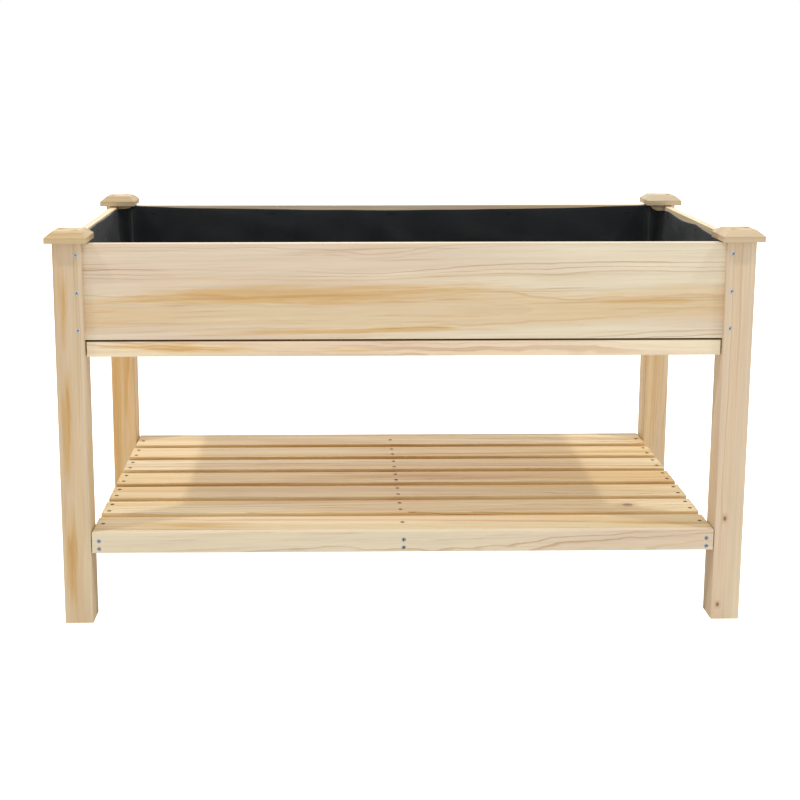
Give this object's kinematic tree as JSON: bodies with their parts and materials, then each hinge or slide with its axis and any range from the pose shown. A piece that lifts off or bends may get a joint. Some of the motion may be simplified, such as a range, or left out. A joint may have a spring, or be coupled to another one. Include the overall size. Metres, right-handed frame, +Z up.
{
  "type": "raised planter",
  "caption": "Rectangular wooden planter raised on square capped legs, with a black fabric liner in the bed and a slatted storage shelf below.",
  "frame": {"origin": "on the ground, under the middle of the planter", "axes": "+X along the planter's length, +Y from front to rear, +Z up"},
  "size_m": [1.222, 0.602, 0.702],
  "materials": {
    "wood": "planed, unfinished softwood",
    "liner_fabric": "matt black non-woven sheet",
    "zinc_steel": "zinc plated",
    "dark_steel": "dark lacquered wire"
  },
  "bodies": {
    "root": {"leg_front_left": "wood", "leg_rear_left": "wood", "leg_front_right": "wood", "leg_rear_right": "wood", "cap_front_left": "wood", "cap_rear_left": "wood", "cap_front_right": "wood", "cap_rear_right": "wood", "front_panel": "wood", "rear_panel": "wood", "side_panel_left": "wood", "side_panel_right": "wood", "floor_front_rail": "wood", "floor_rear_rail": "wood", "floor_batten_left": "wood", "floor_batten_middle": "wood", "floor_batten_right": "wood", "floor_slat_1": "wood", "floor_slat_2": "wood", "floor_slat_3": "wood", "floor_slat_4": "wood", "floor_slat_5": "wood", "floor_slat_6": "wood", "floor_slat_7": "wood", "shelf_front_apron": "wood", "shelf_rear_apron": "wood", "shelf_batten_left": "wood", "shelf_batten_middle": "wood", "shelf_batten_right": "wood", "shelf_slat_1": "wood", "shelf_slat_2": "wood", "shelf_slat_3": "wood", "shelf_slat_4": "wood", "shelf_slat_5": "wood", "shelf_slat_6": "wood", "shelf_slat_7": "wood", "floor_side_rail_left": "wood", "floor_side_rail_right": "wood", "liner": "liner_fabric", "long_panel_screws": "zinc_steel", "side_panel_screws": "zinc_steel", "cap_nails": "zinc_steel", "shelf_slat_screws": "zinc_steel", "shelf_apron_screws": "zinc_steel", "shelf_mount_screws": "zinc_steel", "floor_slat_screws": "zinc_steel", "floor_rail_screws": "zinc_steel", "floor_mount_screws": "zinc_steel", "side_rail_screws": "zinc_steel", "liner_staples": "dark_steel"}
  },
  "joints": []
}
